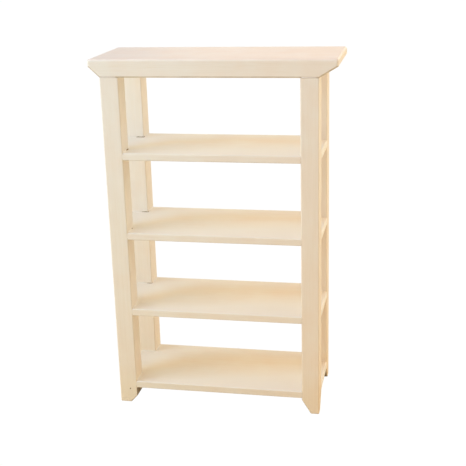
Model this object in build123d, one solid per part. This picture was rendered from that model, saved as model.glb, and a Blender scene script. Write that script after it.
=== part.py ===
from build123d import *
import os

# A dolls' house bookcase: four corner posts, four shelves notched around them, and a top
# board that sits on the posts. Millimetres. +X is right, +Y is back, +Z is up. The pieces are
# made about the middle of the four posts. The top board sits off centre on them, so all the
# pieces are moved together at the end, to put the origin on the floor under its middle.

# Driving sizes
width = 74.0                # over the outer sides of the posts
depth = 34.0                # over the front and back faces of the posts
height = 126.6              # floor to the upper face of the top board

left_post_width = 6.5       # along X
right_post_width = 6.2
post_depth = 7.4            # along Y

board_thickness = 6.2
left_overhang = 4.0         # of the top board, past the posts
right_overhang = 6.2
board_end_height = 2.5      # upright part of each end, above the bevel

shelf_thickness = 2.5
lowest_shelf_top = 8.5      # floor to the upper face of the bottom shelf
shelf_pitch = 28.7          # from one upper face to the next

left_foot_height = 2.7      # how far up the left posts their feet are cut to a taper
left_foot_width = 4.0       # what the cut leaves on the floor, along X
right_foot_height = 5.2     # the right feet are cut higher and narrower
right_foot_width = 3.0
foot_depth = 3.3            # what the cut leaves of every foot, along Y

tenon_width = 3.0           # stub tenon on the top of each post, along X
tenon_depth = 4.0           # and along Y
tenon_height = 2.8
tenon_clearance = 0.05      # glue space around a tenon
mortise_spare_depth = 0.3   # glue space above a tenon

nose_radius = 0.9           # upper edges of the top board
board_lower_radius = 0.7    # its long lower edges, the slopes of its ends, and its corners
board_end_radius = 0.4      # where each end's upright part meets its bevel
post_arris_radius = 0.4
shelf_nose_radius = 0.45    # upper edges of a shelf
shelf_arris_radius = 0.25   # its lower edges

near = 0.01                 # an edge's middle is this near a side that it lies on

# Sizes that follow
half_width = width / 2
half_depth = depth / 2
board_underside = height - board_thickness
standing = (Align.CENTER, Align.CENTER, Align.MIN)
shelf_tops = {
    "bottom_shelf": lowest_shelf_top,
    "lower_middle_shelf": lowest_shelf_top + shelf_pitch,
    "upper_middle_shelf": lowest_shelf_top + 2 * shelf_pitch,
    "top_shelf": lowest_shelf_top + 3 * shelf_pitch,
}
post_widths = {-1: left_post_width, 1: right_post_width}
foot_widths = {-1: left_foot_width, 1: right_foot_width}
foot_heights = {-1: left_foot_height, 1: right_foot_height}
corners = {                 # each post's side, -1 left or 1 right, and end, -1 front or 1 back
    "front_left_post": (-1, -1),
    "front_right_post": (1, -1),
    "back_left_post": (-1, 1),
    "back_right_post": (1, 1),
}


def middle_of_post(side, end):
    """From the middle of the bookcase to the middle of one post, on the floor."""
    return Pos(side * (half_width - post_widths[side] / 2), end * (half_depth - post_depth / 2), 0)


def tapered_outline(across, left_on_floor, foot_height):
    """A post seen from one side: its outer side on the left, its foot cut away on the right."""
    return Polygon(
        (0, 0),
        (left_on_floor, 0),
        (across, foot_height),
        (across, board_underside),
        (0, board_underside),
        align=None,
    )


def post(side, end):
    """One post with its stub tenon."""
    post_width = post_widths[side]
    foot_height = foot_heights[side]
    front_outline = tapered_outline(post_width, foot_widths[side], foot_height)
    side_outline = tapered_outline(post_depth, foot_depth, foot_height)
    block = extrude(Plane.XZ * front_outline, -post_depth) & extrude(Plane.YZ * side_outline, post_width)
    against_the_board = block.faces().sort_by(Axis.Z)[-1]
    block = fillet(block.edges() - against_the_board.edges(), post_arris_radius)
    tenon = Box(tenon_width, tenon_depth, tenon_height, align=standing)
    block += Pos(post_width / 2, post_depth / 2, board_underside) * tenon
    whole = Pos(-half_width, -half_depth, 0) * block
    if side > 0:
        whole = mirror(whole, about=Plane.YZ)
    if end > 0:
        whole = mirror(whole, about=Plane.XZ)
    return whole


def on_the_outline(edge):
    """Whether an edge runs along an outer side of the bookcase, and not inside a notch."""
    middle = edge.center()
    at_an_end = abs(middle.X) > half_width - near
    at_front_or_back = abs(middle.Y) > half_depth - near
    return at_an_end or at_front_or_back


def shelf(top):
    """A board whose four corners are notched around the posts, flush with them all round."""
    outline = Rectangle(width, depth)
    for side, end in corners.values():
        outline -= middle_of_post(side, end) * Rectangle(post_widths[side], post_depth)
    slab = extrude(Plane.XY.offset(top - shelf_thickness) * outline, shelf_thickness)
    upper = slab.edges().group_by(Axis.Z)[-1]
    slab = fillet(upper.filter_by(on_the_outline), shelf_nose_radius)
    lower = slab.edges().group_by(Axis.Z)[0]
    return fillet(lower.filter_by(on_the_outline), shelf_arris_radius)


def top_board():
    """A thick board with bevelled undersides at its ends, and a blind mortise for each tenon."""
    left_end = -half_width - left_overhang
    right_end = half_width + right_overhang
    bevel_start = height - board_end_height
    outline = Polygon(
        (left_end, height),
        (left_end, bevel_start),
        (-half_width, board_underside),
        (half_width, board_underside),
        (right_end, bevel_start),
        (right_end, height),
        align=None,
    )
    board = extrude(Plane.XZ.offset(-half_depth) * outline, depth)
    board = fillet(board.edges().group_by(Axis.Z)[-1], nose_radius)
    below_the_nose = height - nose_radius - near
    lower = board.edges().filter_by_position(Axis.Z, board_underside, below_the_nose)
    board = fillet(lower - lower.filter_by(Axis.Y), board_lower_radius)
    across = board.edges().filter_by(Axis.Y)
    above_the_bevels = across.filter_by_position(Axis.Z, bevel_start - near, bevel_start + near)
    board = fillet(above_the_bevels, board_end_radius)
    mortise = Box(
        tenon_width + 2 * tenon_clearance,
        tenon_depth + 2 * tenon_clearance,
        tenon_height + mortise_spare_depth,
        align=standing,
    )
    for side, end in corners.values():
        board -= Pos(0, 0, board_underside) * middle_of_post(side, end) * mortise
    return board


pieces = {"top_board": top_board()}
for name, (side, end) in corners.items():
    pieces[name] = post(side, end)
for name, top in shelf_tops.items():
    pieces[name] = shelf(top)

to_the_origin = Pos((left_overhang - right_overhang) / 2, 0, 0)
os.makedirs("parts", exist_ok=True)
for name, piece in pieces.items():
    export_step(to_the_origin * piece, f"parts/{name}.step")
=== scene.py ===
import math
import random

import bmesh
import bpy
from mathutils import Matrix, Vector


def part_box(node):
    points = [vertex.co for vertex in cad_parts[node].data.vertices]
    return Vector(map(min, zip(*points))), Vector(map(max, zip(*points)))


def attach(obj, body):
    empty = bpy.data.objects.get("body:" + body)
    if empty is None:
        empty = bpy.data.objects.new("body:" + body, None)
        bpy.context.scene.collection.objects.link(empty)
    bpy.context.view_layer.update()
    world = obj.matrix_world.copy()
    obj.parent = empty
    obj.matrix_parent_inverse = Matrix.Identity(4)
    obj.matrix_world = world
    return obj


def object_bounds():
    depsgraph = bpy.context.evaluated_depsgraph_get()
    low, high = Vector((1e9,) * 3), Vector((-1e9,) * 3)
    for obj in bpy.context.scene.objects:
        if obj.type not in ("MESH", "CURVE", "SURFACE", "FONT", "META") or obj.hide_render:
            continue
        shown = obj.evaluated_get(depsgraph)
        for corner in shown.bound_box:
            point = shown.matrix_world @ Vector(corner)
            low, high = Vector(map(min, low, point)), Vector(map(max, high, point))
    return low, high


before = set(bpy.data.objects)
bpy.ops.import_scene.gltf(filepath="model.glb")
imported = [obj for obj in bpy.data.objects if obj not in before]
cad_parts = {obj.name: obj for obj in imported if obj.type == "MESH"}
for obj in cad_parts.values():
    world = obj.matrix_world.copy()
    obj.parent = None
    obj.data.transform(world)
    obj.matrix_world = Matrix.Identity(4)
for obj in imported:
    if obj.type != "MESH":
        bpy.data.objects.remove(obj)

CAD_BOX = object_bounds()
LOWEST, HIGHEST = CAD_BOX
MIDDLE = (LOWEST + HIGHEST) / 2
MM = 0.001
UP = Vector((0, 0, 1))
POSTS = sorted(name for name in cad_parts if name.endswith("_post"))
SHELVES = sorted(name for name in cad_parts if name.endswith("_shelf"))
POSTS_MIDDLE_X = (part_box("front_left_post")[0].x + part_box("front_right_post")[1].x) / 2

# The camera: its angles, and the point it looks at in the plane of the bookcase's front
LENS_MM = 74.215
SENSOR_MM = 36
CAMERA_AZIMUTH = math.radians(11.55)
CAMERA_ELEVATION = math.radians(17.59)
CAMERA_ROLL = math.radians(-1.62)
CAMERA_DISTANCE = 329.94 * MM
AIM_RIGHT_OF_POSTS_MIDDLE = 7.36 * MM
AIM_ABOVE_FLOOR = 67.31 * MM
NEAREST_SEEN = 0.01
FURTHEST_SEEN = 50

# The room
BACKGROUND_GLOW = 1.02      # what the camera sees of the room and the floor: just over white
ROOM_COLOUR = (1.0, 0.91, 0.76)
ROOM_STRENGTH = 0.5
LAMP_DISTANCE = 1.0         # unless a lamp says otherwise
LAMP_SIZE = 0.6
FLOOR_COLOUR = (0.9, 0.8, 0.6)
FLOOR_RADIUS = 6.0
FLOOR_SIDES = 96

# The rounded edges of the CAD pieces that paint has run into
POST_ARRIS = 0.4 * MM
SHELF_NOSE = 0.45 * MM
SHELF_ARRIS = 0.25 * MM
BOARD_LOWER_RADIUS = 0.7 * MM

# Beads and fillers of paint
BEAD_RADIUS = 0.32 * MM
BEAD_WOBBLE = 0.16          # share of the radius, for each of two waves
BEAD_WAVE = 0.7 * MM
BEAD_SECOND_WAVE = 2.3      # times as many waves as the first
BEAD_FADE = 0.9 * MM        # how long a bead takes to reach its full size from an end
BEAD_END = 0.2              # share of its radius that it ends with
BEAD_INSET = 0.5 * MM       # from the outer faces of the bookcase
BEAD_SPACING = 0.3 * MM
ARC_STEPS = 5
SINK = 0.02 * MM            # how far paint reaches into what it sticks to
FILLER_HOLLOW = 0.035 * MM  # how far a filler stays below the faces on each side of it

# Along a filler, as shares of its length, and how many times the usual hollow it is there
FILLER_HOLLOWS = {0.0: 3.0, 0.12: 1.2, 0.5: 1.0, 0.88: 1.2, 1.0: 3.0}

# Joints above a shelf that the paint has not closed, in mm along the bead round the post:
# where the opening starts, how long it is, and how high it stands open
OPEN_JOINTS = {
    ("top_shelf", "front_left_post"): (3.7, 2.8, 0.30),
    ("top_shelf", "back_left_post"): (5.4, 4.6, 0.22),
    ("upper_middle_shelf", "front_left_post"): (4.4, 1.6, 0.22),
    ("upper_middle_shelf", "back_left_post"): (6.0, 3.6, 0.20),
    ("lower_middle_shelf", "back_left_post"): (6.0, 3.2, 0.16),
}

# A chip in the paint, low on the front of the front left post
CHIP_FROM_SIDE = 3.9 * MM
CHIP_ABOVE_FLOOR = 5.4 * MM
CHIP_RADIUS = 0.33 * MM
CHIP_RAGGED = 0.35          # share of its radius
CHIP_FACE = 0.7             # share of its radius that is flat
CHIP_POINTS = 14

# Linear colours of the paint, darker and warmer low down as painted light; of painted light, highlight and
# shade laid on it, and of edge wear; and of bare wood in gaps and chips
PAINT_LOW = (0.918, 0.812, 0.65)
PAINT_HIGH = (0.97, 0.925, 0.855)
PAINTED_LIGHT_COLOUR = (0.93, 0.925, 0.90)
END_HIGHLIGHT = (0.98, 0.96, 0.92)
SHADED_OR_WORN_PAINT = (0.50, 0.41, 0.30)
SHADE_UNDER_SHELF = (0.42, 0.34, 0.26)
GAP_DARK = (0.16, 0.10, 0.05)
GAP_LIGHT = (0.36, 0.25, 0.14)

# Linear colours that multiply the paint. STREAK and GRAIN are its own texture; the rest tint it with
# painted light and shade, COOLER and PINKER together with random clouds of tone
WHITE = (1.0, 1.0, 1.0)
COOLER = (0.985, 1.015, 1.075)
PINKER = (0.975, 0.93, 0.935)
WARM_LIGHT_ON_TOP = (1.0, 0.96, 0.975)
WARM_LIGHT_BELOW = (1.0, 0.965, 0.94)
WARM_LIGHT_NEAR_FLOOR = (1.0, 0.985, 0.93)
SHADOW_TINT = (0.995, 0.96, 0.89)
INNER_LIT_LOW = (1.04, 1.04, 1.06)
INNER_SHADED_HIGH = (0.94, 0.90, 0.85)
STREAK = (0.985, 0.98, 0.965)
GRAIN = (0.98, 0.97, 0.95)

# Sizes of the paint's texture in mm, across the grain and along it
STREAK_SIZE = (0.9, 40)
GRAIN_SIZE = (0.28, 9)
PATCH_SIZE = (1.2, 5)
BRUSH_SIZE = (0.45, 16)
CLOUD_SIZE = (9, 9, 9)      # along X, Y and Z
FIBRE_SIZE = (0.2, 0.6, 0.2)
BRUSH_HEIGHT = 0.03
GRAIN_HEIGHT = 0.012
NOISE_SHIFT = (1.0, 0.37, 0.71)     # how far a layer's place moves its noise along X, Y and Z

# Ranges of noise over which each effect comes or goes
CLOUDS = (0.3, 0.7)
STREAKS = (0.35, 0.65)
GRAIN_LINES = (0.3, 0.5)
PATCHES = (0.38, 0.62)
GLOSS = (0.3, 0.7)
CLOUD_SHARE = 0.3           # how far a cloud moves the tint, when 1 is the bookcase's width
FAINTEST_PATCH = 0.6
PAINT_ROUGHNESS = (0.38, 0.56)
WOOD_ROUGHNESS = (0.7, 0.9)
COAT = 0.08
COAT_ROUGHNESS = 0.3

# Ranges of a surface's direction, as parts of its normal, over which each mask comes or goes
ROUNDED_TO_FLAT = (0.92, 0.998)     # its largest part
TURNED_FROM_Y = (0.1, 0.3)          # its part along Y
DOWN_OR_BACK = (0.05, 0.35)         # its part down or back
UPPER_FACE = (0.4, 0.9)             # its part up
INNER_SIDE = (0.5, 0.9)             # its part along X
SHELF_END = (0.8, 0.95)             # its part along X

# Where the paint differs, and where light, highlight and shade are painted into it
EDGE_WEAR = 0.04            # how worn an edge is at the front, when 1 is the most
SHADE_AND_WEAR_STRENGTH = 0.85                 # how far the colour goes to painted shade, or to wear, where that mask is full
# Painted warm light on the posts near the floor, full up to YELLOW_UP_TO and gone by YELLOW_FADED_BY
YELLOW_UP_TO = 6 * MM       # above the floor, on the posts
YELLOW_FADED_BY = 16 * MM
PINK_FADED_BY = 0.6         # share of the bookcase's height
SHADE_UNDER_SHELF_FADE = 0.6 * MM
INWARD = (-6 * MM, -3 * MM)     # place times direction, where the two point opposite ways
LIGHT_AT_FRONT = 0.7           # share of painted light at the front of a shelf
LIGHT_BEHIND_BAND = 0.35           # and behind the band of painted shadow
END_HIGHLIGHT_SHARE = 0.8             # share of painted highlight on its ends
BAND_HALF_WIDTH = 6 * MM
BAND_CORE = 1 * MM          # either side of the middle of the band, before it fades
BAND_THINS_FROM = 0.3       # share of the bookcase's width
BAND_AT_RIGHT = 0.35        # how strong the band still is at the right end
BEHIND_BAND = (5 * MM, 11 * MM)         # behind its middle, where painted light comes back
FRONT_FADE = (-20 * MM, -8 * MM)        # behind the front line

# Lines across a shelf: from and to how far from the left end, and the line's Y at each
FRONT_LINE = (0.0, 75 * MM, 0.0, 17 * MM)
BAND_GENTLE_SLANT = (0.0, 45 * MM, -2 * MM, 7 * MM)
BAND_STEEP_SLANT = (10 * MM, 24 * MM, -8 * MM, 0.0)     # added to the gentle one


# ---------------------------------------------------------------- camera, light and floor

def toward(azimuth, elevation):
    """The direction from the bookcase to something at these angles, azimuth 0 being its front."""
    level = math.cos(elevation)
    return Vector((math.sin(azimuth) * level, -math.cos(azimuth) * level, math.sin(elevation)))


def facing(back, roll=0.0):
    """The turn of a camera or a lamp whose back points along back."""
    right = UP.cross(back).normalized()
    up = back.cross(right)
    turned_right = right * math.cos(roll) + up * math.sin(roll)
    turned_up = up * math.cos(roll) - right * math.sin(roll)
    return Matrix((turned_right, turned_up, back)).transposed().to_4x4()


def make_camera():
    data = bpy.data.cameras.new("camera")
    data.lens = LENS_MM
    data.sensor_width = SENSOR_MM
    data.clip_start = NEAREST_SEEN
    data.clip_end = FURTHEST_SEEN
    camera = bpy.data.objects.new("camera", data)
    bpy.context.scene.collection.objects.link(camera)
    back = toward(CAMERA_AZIMUTH, CAMERA_ELEVATION)
    aim = Vector((POSTS_MIDDLE_X + AIM_RIGHT_OF_POSTS_MIDDLE, LOWEST.y, LOWEST.z + AIM_ABOVE_FLOOR))
    camera.matrix_world = Matrix.Translation(aim + back * CAMERA_DISTANCE) @ facing(back, CAMERA_ROLL)
    bpy.context.scene.camera = camera


def softbox(name, azimuth, elevation, power, colour, distance=LAMP_DISTANCE, size=LAMP_SIZE):
    """A square area lamp, in degrees and metres, that faces the middle of the bookcase."""
    data = bpy.data.lights.new(name, "AREA")
    data.shape = "SQUARE"
    data.size = size
    data.energy = power
    data.color = colour
    lamp = bpy.data.objects.new(name, data)
    bpy.context.scene.collection.objects.link(lamp)
    back = toward(math.radians(azimuth), math.radians(elevation))
    lamp.matrix_world = Matrix.Translation(MIDDLE + back * distance) @ facing(back)
    lamp.visible_camera = False
    return lamp


def light_the_scene():
    """Cool lamps on the left, mostly warm ones elsewhere, and one that gives gloss alone."""
    softbox("left_high", -60, 50, 1.08, (0.02, 0.34, 1.0))
    softbox("left_low", -60, 15, 4.72, (0.88, 0.97, 1.0))
    softbox("right", 90, 17.2, 0.096, (1.0, 0.60, 0.02), distance=0.293, size=0.15)
    softbox("right_high", 75, 45, 0.62, (1.0, 0.94, 0.75))
    softbox("behind", 180, 15, 1.13, (1.0, 0.84, 0.55))
    softbox("behind_left", -110, 20, 1.36, (0.94, 1.0, 0.81))
    softbox("right_side", 110, 20, 1.17, (0.94, 0.95, 1.0))
    softbox("behind_right", 150, 25, 1.76, (1.0, 0.98, 0.92))
    softbox("overhead", 0, 89.9, 1.19, (1.0, 0.63, 0.56))
    gloss_alone = softbox("sheen", -32, 69, 8.0, (1.0, 0.97, 0.81), size=0.5)
    gloss_alone.visible_diffuse = False


def white_to_the_camera(tree, light, output):
    """Puts plain white in front of light for camera rays alone, so the background stays blank."""
    path = tree.nodes.new("ShaderNodeLightPath")
    white = tree.nodes.new("ShaderNodeEmission")
    white.inputs["Strength"].default_value = BACKGROUND_GLOW
    swap = tree.nodes.new("ShaderNodeMixShader")
    tree.links.new(path.outputs["Is Camera Ray"], swap.inputs["Fac"])
    tree.links.new(light, swap.inputs[1])
    tree.links.new(white.outputs["Emission"], swap.inputs[2])
    tree.links.new(swap.outputs["Shader"], output)


def make_room():
    """A dim, warm glow from all round, blank to the camera."""
    world = bpy.data.worlds.new("studio")
    bpy.context.scene.world = world
    world.use_nodes = True
    tree = world.node_tree
    background = tree.nodes["Background"]
    background.inputs["Color"].default_value = (*ROOM_COLOUR, 1)
    background.inputs["Strength"].default_value = ROOM_STRENGTH
    white_to_the_camera(tree, background.outputs[0], tree.nodes["World Output"].inputs["Surface"])


def floor_material():
    """A pale floor that is blank to the camera from above and clear from below."""
    mat, tree, shader = new_material("pale_floor")
    shader.inputs["Base Color"].default_value = (*FLOOR_COLOUR, 1)
    shader.inputs["Roughness"].default_value = 0.7
    shader.inputs["Specular IOR Level"].default_value = 0.0
    sides = tree.nodes.new("ShaderNodeMixShader")
    white_to_the_camera(tree, shader.outputs["BSDF"], sides.inputs[1])
    tree.links.new(tree.nodes.new("ShaderNodeNewGeometry").outputs["Backfacing"], sides.inputs["Fac"])
    tree.links.new(tree.nodes.new("ShaderNodeBsdfTransparent").outputs["BSDF"], sides.inputs[2])
    tree.links.new(sides.outputs["Shader"], tree.nodes["Material Output"].inputs["Surface"])
    return mat


def make_floor():
    made = bmesh.new()
    bmesh.ops.create_circle(made, cap_ends=True, radius=FLOOR_RADIUS, segments=FLOOR_SIDES)
    mesh = bpy.data.meshes.new("floor")
    made.to_mesh(mesh)
    made.free()
    floor = bpy.data.objects.new("floor", mesh)
    floor.location = (MIDDLE.x, MIDDLE.y, LOWEST.z)
    bpy.context.scene.collection.objects.link(floor)
    floor.data.materials.append(floor_material())


# ---------------------------------------------------------------- material nodes

def new_material(name):
    """A material, its node tree and its shader."""
    mat = bpy.data.materials.new(name)
    mat.use_nodes = True
    return mat, mat.node_tree, mat.node_tree.nodes["Principled BSDF"]


def feed(tree, value, socket):
    """Gives a socket its value, which is another socket, a colour or a number."""
    if isinstance(value, bpy.types.NodeSocket):
        tree.links.new(value, socket)
    elif isinstance(value, tuple):
        socket.default_value = (*value, 1)
    else:
        socket.default_value = value


def maths(tree, operation, first, second=0.0):
    """A math node of one or two values."""
    node = tree.nodes.new("ShaderNodeMath")
    node.operation = operation
    feed(tree, first, node.inputs[0])
    feed(tree, second, node.inputs[1])
    return node.outputs["Value"]


def ranged(tree, value, low, high, to_low=0.0, to_high=1.0):
    """value, stretched from low..high to to_low..to_high and clamped."""
    stretch = tree.nodes.new("ShaderNodeMapRange")
    stretch.inputs["From Min"].default_value = low
    stretch.inputs["From Max"].default_value = high
    stretch.inputs["To Min"].default_value = to_low
    stretch.inputs["To Max"].default_value = to_high
    tree.links.new(value, stretch.inputs["Value"])
    return stretch.outputs["Result"]


def mixed(tree, factor, first, second, blend="MIX"):
    """Two colours mixed by factor, which is clamped between 0 and 1."""
    mix = tree.nodes.new("ShaderNodeMix")
    mix.data_type = "RGBA"
    mix.blend_type = blend
    colours = [socket for socket in mix.inputs if socket.type == "RGBA"]
    feed(tree, factor, mix.inputs["Factor"])
    feed(tree, first, colours[0])
    feed(tree, second, colours[1])
    return next(socket for socket in mix.outputs if socket.type == "RGBA")


def multiplied(tree, colour, factor, by):
    """A colour, multiplied by another colour as far as factor says."""
    return mixed(tree, 1.0, colour, mixed(tree, factor, WHITE, by), "MULTIPLY")


def noise_layer(tree, size, place, detail=3.0):
    """Noise between 0 and 1 whose features are about size, in mm along X, Y and Z."""
    coordinates = tree.nodes.new("ShaderNodeTexCoord")
    mapping = tree.nodes.new("ShaderNodeMapping")
    mapping.inputs["Scale"].default_value = [1 / (side * MM) for side in size]
    mapping.inputs["Location"].default_value = [place * shift for shift in NOISE_SHIFT]
    texture = tree.nodes.new("ShaderNodeTexNoise")
    texture.inputs["Scale"].default_value = 1.0
    texture.inputs["Detail"].default_value = detail
    tree.links.new(coordinates.outputs["Object"], mapping.inputs["Vector"])
    tree.links.new(mapping.outputs["Vector"], texture.inputs["Vector"])
    return texture.outputs["Fac"]


def bumped(tree, height, distance, onto=None):
    """A normal that raises the surface by up to distance, in mm, on top of another normal."""
    bump = tree.nodes.new("ShaderNodeBump")
    bump.inputs["Distance"].default_value = distance * MM
    tree.links.new(height, bump.inputs["Height"])
    if onto is not None:
        tree.links.new(onto, bump.inputs["Normal"])
    return bump.outputs["Normal"]


def each_axis(tree, kind):
    """X, Y and Z of the surface's place when kind is Object, or of its direction when Normal."""
    coordinates = tree.nodes.new("ShaderNodeTexCoord")
    split = tree.nodes.new("ShaderNodeSeparateXYZ")
    tree.links.new(coordinates.outputs[kind], split.inputs["Vector"])
    return split.outputs


def height_above_floor(tree):
    """0 at the floor and 1 at the top of the bookcase."""
    return ranged(tree, each_axis(tree, "Object")["Z"], LOWEST.z, HIGHEST.z)


def across_the_width(tree):
    """0 at the left end of the bookcase and 1 at the right."""
    return ranged(tree, each_axis(tree, "Object")["X"], LOWEST.x, HIGHEST.x)


# ---------------------------------------------------------------- masks: 1 in a place, 0 elsewhere

def on_rounded_edges(tree):
    """On the rounded edges, apart from bevels and the edges that run from front to back."""
    normal = each_axis(tree, "Normal")
    sizes = {axis: maths(tree, "ABSOLUTE", normal[axis]) for axis in "XYZ"}
    largest = maths(tree, "MAXIMUM", maths(tree, "MAXIMUM", sizes["X"], sizes["Y"]), sizes["Z"])
    between_faces = ranged(tree, largest, *ROUNDED_TO_FLAT, 1.0, 0.0)
    return maths(tree, "MULTIPLY", between_faces, ranged(tree, sizes["Y"], *TURNED_FROM_Y))


def shade_or_wear_mask(tree):
    """Painted shade where a surface faces down or back, else EDGE_WEAR, which is wear."""
    normal = each_axis(tree, "Normal")
    down = maths(tree, "MULTIPLY", normal["Z"], -1)
    return ranged(tree, maths(tree, "MAXIMUM", down, normal["Y"]), *DOWN_OR_BACK, EDGE_WEAR, 1.0)


def on_the_upper_face(tree):
    return ranged(tree, each_axis(tree, "Normal")["Z"], *UPPER_FACE)


def facing_inward(tree):
    """Where a surface faces the upright line through the origin."""
    place = each_axis(tree, "Object")
    normal = each_axis(tree, "Normal")
    along_x = maths(tree, "MULTIPLY", place["X"], normal["X"])
    along_y = maths(tree, "MULTIPLY", place["Y"], normal["Y"])
    return ranged(tree, maths(tree, "ADD", along_x, along_y), *INWARD, 1.0, 0.0)


def facing_sideways(tree, low, high):
    """Where a surface faces left or right, coming in as the X part of its normal passes low."""
    return ranged(tree, maths(tree, "ABSOLUTE", each_axis(tree, "Normal")["X"]), low, high)


# ---------------------------------------------------------------- paint and wood

def vary_the_board(tree, colour):
    """Paints warm light on the upper face of the top board, turning it a little pinker."""
    return multiplied(tree, colour, on_the_upper_face(tree), WARM_LIGHT_ON_TOP)


def vary_the_posts(tree, colour):
    """Paints warm light on the posts downwards, light low and shade high on their inner sides, and dark
    shade on their inner faces under the bottom shelf.
    """
    height = each_axis(tree, "Object")["Z"]
    # Painted warm light towards the floor
    near_floor = ranged(tree, height, LOWEST.z + YELLOW_UP_TO, LOWEST.z + YELLOW_FADED_BY, 1.0, 0.0)
    colour = multiplied(tree, colour, near_floor, WARM_LIGHT_NEAR_FLOOR)
    lower = ranged(tree, height_above_floor(tree), 0.0, PINK_FADED_BY, 1.0, 0.0)
    colour = multiplied(tree, colour, lower, WARM_LIGHT_BELOW)
    # Painted light low on the posts' inner sides, and painted shade high up on them
    inside = mixed(tree, height_above_floor(tree), INNER_LIT_LOW, INNER_SHADED_HIGH)
    inner = facing_inward(tree)
    inner_side = maths(tree, "MULTIPLY", inner, facing_sideways(tree, *INNER_SIDE))
    colour = multiplied(tree, colour, inner_side, inside)
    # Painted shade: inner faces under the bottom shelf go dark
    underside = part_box("bottom_shelf")[0].z
    below = ranged(tree, height, underside - SHADE_UNDER_SHELF_FADE, underside, 1.0, 0.0)
    return mixed(tree, maths(tree, "MULTIPLY", inner, below), colour, SHADE_UNDER_SHELF)


def behind_the_front_line(tree):
    """How far a place is behind a line that slants back from the left end to the right."""
    place = each_axis(tree, "Object")
    across = maths(tree, "SUBTRACT", place["X"], LOWEST.x)
    return maths(tree, "SUBTRACT", place["Y"], ranged(tree, across, *FRONT_LINE))


def behind_the_band(tree):
    """How far a place is behind the middle of a band of painted shadow that starts behind the front left
    post.

    The band slants back gently, with a steep stretch near the post, and is straight at the right.
    """
    place = each_axis(tree, "Object")
    across = maths(tree, "SUBTRACT", place["X"], LOWEST.x)
    gentle = ranged(tree, across, *BAND_GENTLE_SLANT)
    steep = ranged(tree, across, *BAND_STEEP_SLANT)
    return maths(tree, "SUBTRACT", place["Y"], maths(tree, "ADD", gentle, steep))


def vary_the_shelves(tree, colour):
    """Paints a highlight on a shelf's ends, and light on its upper face before and behind a slanting band
    of painted shadow.
    """
    upper = on_the_upper_face(tree)
    # Painted light on a shelf's upper face, at the front and behind the band
    front = ranged(tree, behind_the_front_line(tree), *FRONT_FADE, LIGHT_AT_FRONT, 0.0)
    behind = behind_the_band(tree)
    back = ranged(tree, behind, *BEHIND_BAND, 0.0, LIGHT_BEHIND_BAND)
    light_share = maths(tree, "MULTIPLY", maths(tree, "ADD", front, back), upper)
    colour = mixed(tree, light_share, colour, PAINTED_LIGHT_COLOUR)
    # Painted shadow: a slanting tan band across the upper face, fainter to the right
    band = ranged(tree, maths(tree, "ABSOLUTE", behind), BAND_CORE, BAND_HALF_WIDTH, 1.0, 0.0)
    band = maths(tree, "MULTIPLY", band, upper)
    thinning = ranged(tree, across_the_width(tree), BAND_THINS_FROM, 1.0, 1.0, BAND_AT_RIGHT)
    band = maths(tree, "MULTIPLY", band, thinning)
    colour = multiplied(tree, colour, band, SHADOW_TINT)
    # Painted highlight on a shelf's end faces
    ends = maths(tree, "MULTIPLY", facing_sideways(tree, *SHELF_END), END_HIGHLIGHT_SHARE)
    return mixed(tree, ends, colour, END_HIGHLIGHT)


def paint_material(name, grain, place, vary):
    """Cream paint brushed along the grain of fine wood, with painted light and shade in it, whose colour
    vary changes in places.

    Each layer of noise is taken at a place of its own, so no two have the same pattern.
    """
    mat, tree, shader = new_material(name)

    def grain_noise(size, place, detail):
        across, along = size
        return noise_layer(tree, [along if axis == grain else across for axis in "XYZ"], place, detail)

    # Painted light: the paint is darker and warmer towards the floor
    colour = mixed(tree, height_above_floor(tree), PAINT_LOW, PAINT_HIGH)
    # Random clouds of tone, plus painted light: cooler to the left and pinker to the right
    clouds = noise_layer(tree, CLOUD_SIZE, place + 3, 2.0)
    clouds = ranged(tree, clouds, *CLOUDS, -CLOUD_SHARE, CLOUD_SHARE)
    tone_and_painted_light = maths(tree, "ADD", clouds, across_the_width(tree))
    colour = mixed(tree, 1.0, colour, mixed(tree, tone_and_painted_light, COOLER, PINKER), "MULTIPLY")
    between_streaks = ranged(tree, grain_noise(STREAK_SIZE, place + 11, 3.0), *STREAKS, 1.0, 0.0)
    colour = multiplied(tree, colour, between_streaks, STREAK)
    grain_lines = grain_noise(GRAIN_SIZE, place + 23, 4.0)
    colour = multiplied(tree, colour, ranged(tree, grain_lines, *GRAIN_LINES, 1.0, 0.0), GRAIN)
    patches = grain_noise(PATCH_SIZE, place + 31, 4.0)
    patches = ranged(tree, patches, *PATCHES, FAINTEST_PATCH, 1.0)
    # Painted shade on rounded edges that face down or back, and slight wear on those facing front or up
    shade_and_wear = maths(tree, "MULTIPLY", on_rounded_edges(tree), shade_or_wear_mask(tree))
    shade_and_wear = maths(tree, "MULTIPLY", maths(tree, "MULTIPLY", shade_and_wear, patches), SHADE_AND_WEAR_STRENGTH)
    colour = mixed(tree, shade_and_wear, colour, SHADED_OR_WORN_PAINT)
    tree.links.new(vary(tree, colour), shader.inputs["Base Color"])

    brushed = grain_noise(BRUSH_SIZE, place + 41, 3.0)
    relief = bumped(tree, grain_lines, GRAIN_HEIGHT, bumped(tree, brushed, BRUSH_HEIGHT))
    tree.links.new(relief, shader.inputs["Normal"])
    tree.links.new(ranged(tree, brushed, *GLOSS, *PAINT_ROUGHNESS), shader.inputs["Roughness"])
    shader.inputs["Coat Weight"].default_value = COAT
    shader.inputs["Coat Roughness"].default_value = COAT_ROUGHNESS
    return mat


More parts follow.
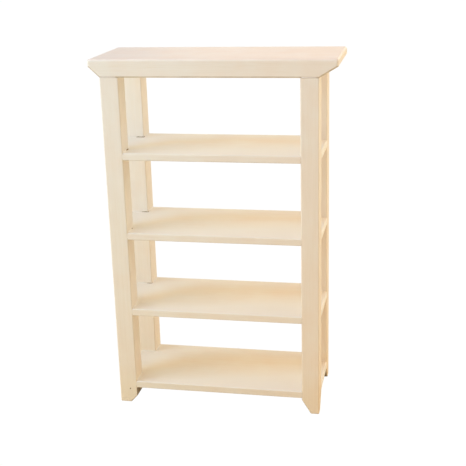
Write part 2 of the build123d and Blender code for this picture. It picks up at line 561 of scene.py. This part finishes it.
def gap_material():
    """Bare, shadowed wood inside a joint that the paint has not closed, or in a chip."""
    mat, tree, shader = new_material("bare_wood_in_a_gap")
    fibres = noise_layer(tree, FIBRE_SIZE, 5.0)
    tree.links.new(mixed(tree, fibres, GAP_DARK, GAP_LIGHT), shader.inputs["Base Color"])
    tree.links.new(ranged(tree, fibres, *GLOSS, *WOOD_ROUGHNESS), shader.inputs["Roughness"])
    tree.links.new(bumped(tree, fibres, BRUSH_HEIGHT), shader.inputs["Normal"])
    return mat


def finish_of(node):
    """The record's material slot for a CAD node."""
    if node.endswith("_post"):
        return "painted_posts"
    if node.endswith("_shelf"):
        return "painted_shelves"
    return "painted_top"


# ---------------------------------------------------------------- paint in the joints

def post_corner(post):
    """A post's outer corner, its inner corner, and the two level directions to the middle."""
    low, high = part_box(post)
    outer = Vector((low.x, low.y, 0))
    inner = Vector((high.x, high.y, 0))
    into_x = Vector((1, 0, 0))
    into_y = Vector((0, 1, 0))
    if "_right_" in post:
        outer.x, inner.x = inner.x, outer.x
        into_x.negate()
    if post.startswith("back_"):
        outer.y, inner.y = inner.y, outer.y
        into_y.negate()
    return outer, inner, into_x, into_y


def steps(length):
    """Distances from 0 to length, evenly spaced, about BEAD_SPACING apart."""
    count = max(2, round(length / BEAD_SPACING))
    return [length * i / count for i in range(count + 1)]


def round_the_post(post):
    """A level path round a post's two inner sides: points, and the direction away from the post."""
    outer, inner, into_x, into_y = post_corner(post)
    turn = inner - (into_x + into_y) * POST_ARRIS
    path = []
    along_depth = abs(turn.y - outer.y) - BEAD_INSET
    for step in steps(along_depth):
        path.append((Vector((inner.x, turn.y, 0)) - into_y * (along_depth - step), into_x))
    for step in range(1, ARC_STEPS):
        angle = math.radians(90) * step / ARC_STEPS
        away = into_x * math.cos(angle) + into_y * math.sin(angle)
        path.append((turn + away * POST_ARRIS, away))
    along_width = abs(turn.x - outer.x) - BEAD_INSET
    for step in steps(along_width):
        path.append((Vector((turn.x, inner.y, 0)) - into_x * step, into_y))
    return path


def distances(path):
    """How far along a path each of its points is."""
    travelled = [0.0]
    for (point, _), (following, _) in zip(path, path[1:]):
        travelled.append(travelled[-1] + (following - point).length)
    return travelled


def part_of(path, start, end):
    """The points of a path that lie between two distances along it."""
    return [place for place, travelled in zip(path, distances(path)) if start <= travelled <= end]


def loft(made, sections):
    """A closed skin through sections of equally many points, capped at both ends."""
    rings = [[made.verts.new(point) for point in section] for section in sections]
    for near, far in zip(rings, rings[1:]):
        for i in range(len(near)):
            j = (i + 1) % len(near)
            made.faces.new((near[i], near[j], far[j], far[i])).smooth = True
    made.faces.new(rings[0])
    made.faces.new(reversed(rings[-1]))


def add_bead(made, path, level, up, size, dice):
    """A hollow fillet along path, between a post and the flat surface at level."""
    rise = UP * up
    first_phase = dice.uniform(0, 2 * math.pi)
    second_phase = dice.uniform(0, 2 * math.pi)
    travelled = distances(path)
    sections = []
    for (point, away), distance in zip(path, travelled):
        wave = distance / BEAD_WAVE
        wobble = math.sin(wave + first_phase) + math.sin(wave * BEAD_SECOND_WAVE + second_phase)
        to_an_end = min(distance, travelled[-1] - distance)
        fullness = BEAD_END + (1 - BEAD_END) * min(1, to_an_end / BEAD_FADE)
        radius = size * (1 + BEAD_WOBBLE * wobble) * fullness
        foot = Vector((point.x, point.y, level))
        centre = foot + (away + rise) * radius
        section = []
        for step in range(ARC_STEPS + 1):
            angle = math.radians(90) * step / ARC_STEPS
            section.append(centre - (away * math.cos(angle) + rise * math.sin(angle)) * radius)
        section.append(foot + away * radius - rise * SINK)
        section.append(foot - (away + rise) * SINK)
        section.append(foot - away * SINK + rise * radius)
        sections.append(section)
    loft(made, sections)


def add_filler(made, corner, inward, beside, along, length, radius):
    """Paint that closes the groove beside a rounded edge, along from corner for length."""
    usual_start = math.acos(1 - FILLER_HOLLOW / radius)
    sections = []
    for share, hollow in FILLER_HOLLOWS.items():
        origin = corner + along * length * share
        centre = origin + (inward + beside) * radius
        start = usual_start * math.sqrt(hollow)
        section = [origin + inward * FILLER_HOLLOW * hollow - beside * SINK]
        for step in range(ARC_STEPS + 1):
            angle = start + (math.radians(90) - start) * step / ARC_STEPS
            section.append(centre - (inward * math.cos(angle) + beside * math.sin(angle)) * (radius - SINK))
        section.append(origin + inward * radius - beside * SINK)
        sections.append(section)
    loft(made, sections)


def finished_piece(name, made, mat):
    """Turns a bmesh into a piece that rides on the bookcase."""
    bmesh.ops.recalc_face_normals(made, faces=made.faces)
    mesh = bpy.data.meshes.new(name)
    made.to_mesh(mesh)
    made.free()
    piece = bpy.data.objects.new(name, mesh)
    bpy.context.scene.collection.objects.link(piece)
    piece.data.materials.append(mat)
    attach(piece, "root")


def add_upper_bead(made, gaps, shelf, post, path, level, dice):
    """The bead above a shelf, with bare wood in its place where the joint has opened."""
    if (shelf, post) not in OPEN_JOINTS:
        add_bead(made, path, level, 1, BEAD_RADIUS, dice)
        return
    start, length, size = [side * MM for side in OPEN_JOINTS[shelf, post]]
    add_bead(made, part_of(path, 0, start + BEAD_FADE / 2), level, 1, BEAD_RADIUS, dice)
    add_bead(made, part_of(path, start + length - BEAD_FADE / 2, math.inf), level, 1, BEAD_RADIUS, dice)
    add_bead(gaps, part_of(path, start, start + length), level, 1, size, dice)


def shelf_paint(shelf, gaps, paint, dice):
    """The paint in a shelf's joints: beads above and below it, and fillers in its end grooves."""
    low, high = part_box(shelf)
    made = bmesh.new()
    for post in POSTS:
        path = round_the_post(post)
        add_upper_bead(made, gaps, shelf, post, path, high.z, dice)
        add_bead(made, path, low.z, -1, BEAD_RADIUS, dice)
        outer, inner, into_x, into_y = post_corner(post)
        height = high.z - low.z - SHELF_NOSE - SHELF_ARRIS
        bottom = low.z + SHELF_ARRIS
        add_filler(made, Vector((inner.x, outer.y, bottom)), into_y, -into_x, UP, height, POST_ARRIS)
        add_filler(made, Vector((outer.x, inner.y, bottom)), into_x, -into_y, UP, height, POST_ARRIS)
    finished_piece(f"{shelf}_joint_paint", made, paint)


def board_paint(paint, dice):
    """The paint where the posts meet the top board: beads inside, and fillers front and back."""
    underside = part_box("top_board")[0].z
    made = bmesh.new()
    for post in POSTS:
        add_bead(made, round_the_post(post), underside, -1, BEAD_RADIUS, dice)
        outer, inner, into_x, into_y = post_corner(post)
        length = abs(inner.x - outer.x) - 2 * POST_ARRIS
        corner = Vector((outer.x, outer.y, underside)) + into_x * POST_ARRIS
        add_filler(made, corner, into_y, UP, into_x, length, BOARD_LOWER_RADIUS)
    finished_piece("top_board_joint_paint", made, paint)


def paint_chip(bare_wood, dice):
    """A ragged spot of bare wood that stands a hair's breadth out of the paint."""
    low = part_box("front_left_post")[0]
    middle = Vector((low.x + CHIP_FROM_SIDE, low.y, low.z + CHIP_ABOVE_FLOOR))
    edge = []
    for i in range(CHIP_POINTS):
        angle = 2 * math.pi * i / CHIP_POINTS
        reach = CHIP_RADIUS * (1 - CHIP_RAGGED * dice.random())
        edge.append(Vector((math.cos(angle) * reach, 0, math.sin(angle) * reach)))
    made = bmesh.new()
    sections = []
    for share, out in ((1.0, -SINK), (1.0, 0.0), (CHIP_FACE, SINK / 2)):
        sections.append([middle + point * share - Vector((0, out, 0)) for point in edge])
    loft(made, sections)
    finished_piece("paint_chip", made, bare_wood)


make_camera()
light_the_scene()
make_room()
make_floor()
paints = {
    "painted_top": paint_material("painted_top", "X", 0.0, vary_the_board),
    "painted_posts": paint_material("painted_posts", "Z", 100.0, vary_the_posts),
    "painted_shelves": paint_material("painted_shelves", "X", 200.0, vary_the_shelves),
}
for name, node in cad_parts.items():
    node.data.materials.clear()
    node.data.materials.append(paints[finish_of(name)])
bare_wood = gap_material()
dice = random.Random(12)
gaps = bmesh.new()
for shelf in SHELVES:
    shelf_paint(shelf, gaps, paints["painted_shelves"], dice)
finished_piece("open_joints", gaps, bare_wood)
board_paint(paints["painted_top"], dice)
paint_chip(bare_wood, dice)
bpy.context.scene.view_settings.view_transform = "Standard"
